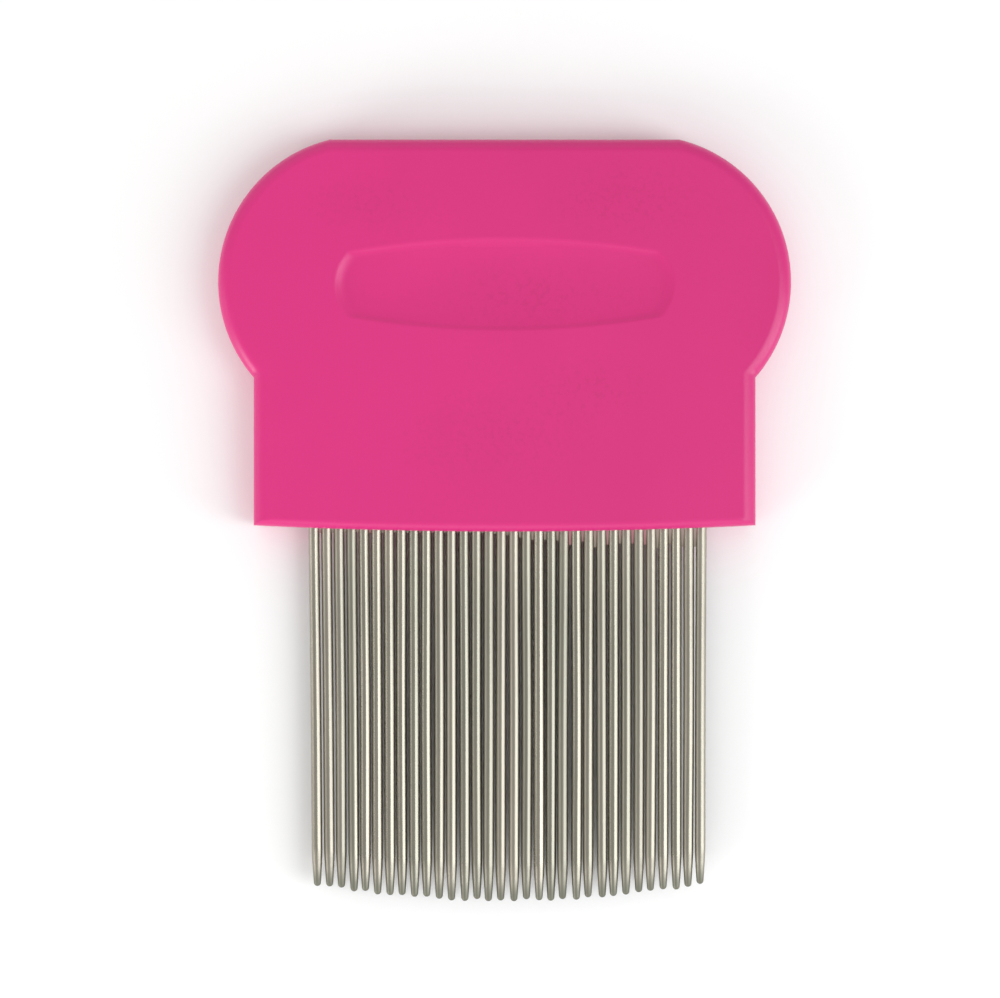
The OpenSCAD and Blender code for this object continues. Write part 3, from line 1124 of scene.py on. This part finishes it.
@functools.cache
def bar_plastic():
    """Plain off-white moulded plastic with a fine mould texture."""
    looks = settings("comb_looks")
    r = Recipe("bar_plastic")
    place = r.place()
    cloud = r.noise(place, 300.0, 3.0)
    grit = r.noise(place, 5000.0, 2.0)
    colour_here = r.mix(cloud, shade(looks.bar, 0.9), shade(looks.bar, 1.05))
    return r.finish(Base_Color=colour_here, Roughness=0.5 + grit.centred() * 0.2,
                    Normal=r.bump(grit, 0.004 * MM))


@functools.cache
def cured_resin():
    """Cured amber adhesive with small bubbles."""
    looks = settings("comb_looks")
    r = Recipe("cured_resin")
    place = r.place()
    bubble = r.add("ShaderNodeTexVoronoi", None, {"Vector": place, "Scale": 1600.0}, "Distance")
    swirl = r.noise(place, 250.0, 4.0, 0.6)
    colour_here = r.mix(swirl, shade(looks.resin, 0.75), shade(looks.resin, 1.2))
    return r.finish(Base_Color=colour_here, Roughness=0.15 + swirl * 0.2,
                    Normal=r.bump(r.between(bubble, 0.0, 0.4), 0.01 * MM))


@functools.cache
def studio_paper():
    """Pale paper of the studio floor."""
    looks = settings("comb_looks")
    r = Recipe("studio_paper")
    fibre = r.noise(r.place(), 900.0, 3.0)
    colour_here = r.mix(fibre, shade(looks.floor, 0.985), shade(looks.floor))
    return r.finish(Base_Color=colour_here, Roughness=0.9, Specular_IOR_Level=0.1)


# ---------- stage ----------

SENSOR_W = 36.0
CLIP_START = 0.01
SKY_TINT = (1.0, 0.99, 0.97, 1.0)
KEY_TINT = (0.94, 0.97, 1.0)
KEY_LEAN = -0.22
KEY_DISTANCE = 0.45
KEY_SIZE = (0.2, 0.6)
BOX_DISTANCE = 0.5
# the other soft boxes: setting of the power, name, direction, width and height
SOFT_BOXES = (
    ("foot", "foot_box", (0.1, -0.86, 0.5), (0.7, 0.3)),
    ("fill", "fill_box", (-0.8, -0.53, 0.28), (0.2, 0.3)),
    ("strip", "side_strip", (-1.0, -0.05, 0.05), (0.05, 0.6)),
    ("top", "top_box", (-0.3, 0.85, 0.45), (0.6, 0.3)),
)


def add_soft_box(name, direction, distance, size, watts):
    """Rectangular soft light that looks at the origin from a direction."""
    direction = Vector(direction).normalized()
    deselect_all()
    bpy.ops.object.light_add(type="AREA", location=direction * distance)
    box = bpy.context.object
    box.name = name
    box.rotation_euler = (-direction).to_track_quat("-Z", "Y").to_euler()
    box.data.shape = "RECTANGLE"
    box.data.size, box.data.size_y = size
    box.data.energy = watts
    return box


class FLEACOMB_OT_stage(bpy.types.Operator):
    """Set the pale floor, the soft lights and the camera"""
    bl_idname = "flea_comb.stage"
    bl_label = "Stage"

    def execute(self, context):
        stage = settings("comb_stage")
        deselect_all()
        bpy.ops.mesh.primitive_plane_add(size=stage.floor_w, location=(0, 0, REAR_LOW.z))
        floor = apply_place(bpy.context.object)
        floor.name = "studio_floor"
        floor.data.materials.append(studio_paper())

        key_from = (math.sin(stage.key_angle), KEY_LEAN, math.cos(stage.key_angle))
        key = add_soft_box("key_box", key_from, KEY_DISTANCE, KEY_SIZE, stage.key)
        key.data.color = KEY_TINT
        for setting, name, direction, size in SOFT_BOXES:
            add_soft_box(name, direction, BOX_DISTANCE, size, getattr(stage, setting))

        scene = context.scene
        world = bpy.data.worlds.new("studio_sky")
        world.use_nodes = True
        sky = world.node_tree.nodes["Background"]
        sky.inputs["Color"].default_value = SKY_TINT
        sky.inputs["Strength"].default_value = stage.sky
        scene.world = world
        scene.view_settings.view_transform = "Standard"
        scene.view_settings.look = "None"

        rim_z = REAR_LOW.z + 2 * HALF_T - settings("comb_handle").rim_r
        height = stage.view_w * stage.lens / SENSOR_W
        bpy.ops.object.camera_add(
            location=(-stage.aim_left, stage.aim_up, rim_z + height), rotation=(0, 0, 0))
        camera = context.object
        camera.name = "studio_camera"
        camera.data.lens = stage.lens
        camera.data.sensor_width = SENSOR_W
        camera.data.clip_start = CLIP_START
        camera.data.dof.use_dof = False
        scene.camera = camera
        return {"FINISHED"}


class FLEACOMB_PT_panel(bpy.types.Panel):
    """Steps of the flea comb, in order"""
    bl_idname = "FLEACOMB_PT_panel"
    bl_label = "Flea comb"
    bl_space_type = "VIEW_3D"
    bl_region_type = "UI"
    bl_category = "Flea comb"

    def draw(self, context):
        for step in STEPS:
            self.layout.operator(step.bl_idname)
        for name in SETTING_GROUPS:
            group = getattr(context.scene, name)
            column = self.layout.box().column()
            for prop in group.bl_rna.properties:
                if prop.identifier not in ("rna_type", "name"):
                    column.prop(group, prop.identifier)


STEPS = (
    FLEACOMB_OT_stage,
    FLEACOMB_OT_front_shell,
    FLEACOMB_OT_rear_shell,
    FLEACOMB_OT_steel_pins,
    FLEACOMB_OT_mouth_flash,
    FLEACOMB_OT_inner_parts,
)
CLASSES = (*SETTING_GROUPS.values(), *STEPS, FLEACOMB_PT_panel)


def register():
    """Registers the settings, the operators and the panel."""
    for item in CLASSES:
        bpy.utils.register_class(item)
    for name, group in SETTING_GROUPS.items():
        setattr(bpy.types.Scene, name, bpy.props.PointerProperty(type=group))


def unregister():
    """Takes back what register made."""
    for name in SETTING_GROUPS:
        delattr(bpy.types.Scene, name)
    for item in reversed(CLASSES):
        bpy.utils.unregister_class(item)


def main():
    """Builds the comb and its stage."""
    register()
    bpy.ops.flea_comb.stage()
    bpy.ops.flea_comb.front_shell()
    bpy.ops.flea_comb.rear_shell()
    bpy.ops.flea_comb.steel_pins()
    bpy.ops.flea_comb.mouth_flash()
    bpy.ops.flea_comb.inner_parts()


if __name__ == "__main__":
    main()
